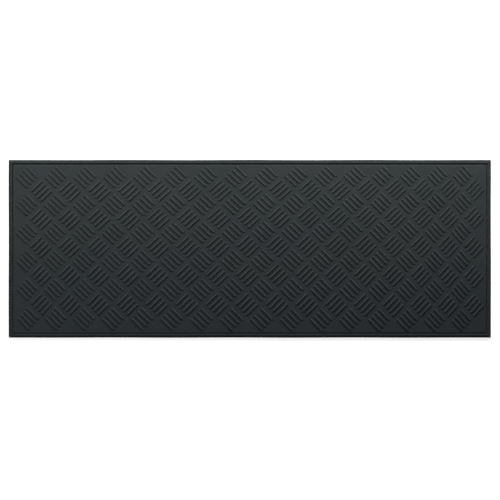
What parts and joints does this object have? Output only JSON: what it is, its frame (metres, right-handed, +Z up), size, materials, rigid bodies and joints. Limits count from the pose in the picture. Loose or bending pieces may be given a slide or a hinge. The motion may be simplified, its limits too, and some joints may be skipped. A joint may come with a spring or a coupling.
{
  "type": "door mat",
  "caption": "Wide rubber scraper door mat with a chequer tread of raised slanting bars, a low rounded rim and a studded underside.",
  "frame": {"origin": "on the floor under the middle of the mat", "axes": "+X along the mat's long side, +Y across it towards the door, +Z up"},
  "size_m": [1.2, 0.442, 0.007],
  "materials": {
    "backing_rubber": "matt, dull black, plain pressed underside",
    "tread_rubber": "matt slate black with a faint sheen on the bars",
    "rim_rubber": "matt slate black, slightly smoother than the tread"
  },
  "bodies": {
    "root": {"backing_sheet": "backing_rubber", "tread_sheet": "tread_rubber", "rim_front": "rim_rubber", "rim_back": "rim_rubber", "rim_left": "rim_rubber", "rim_right": "rim_rubber"}
  },
  "joints": []
}
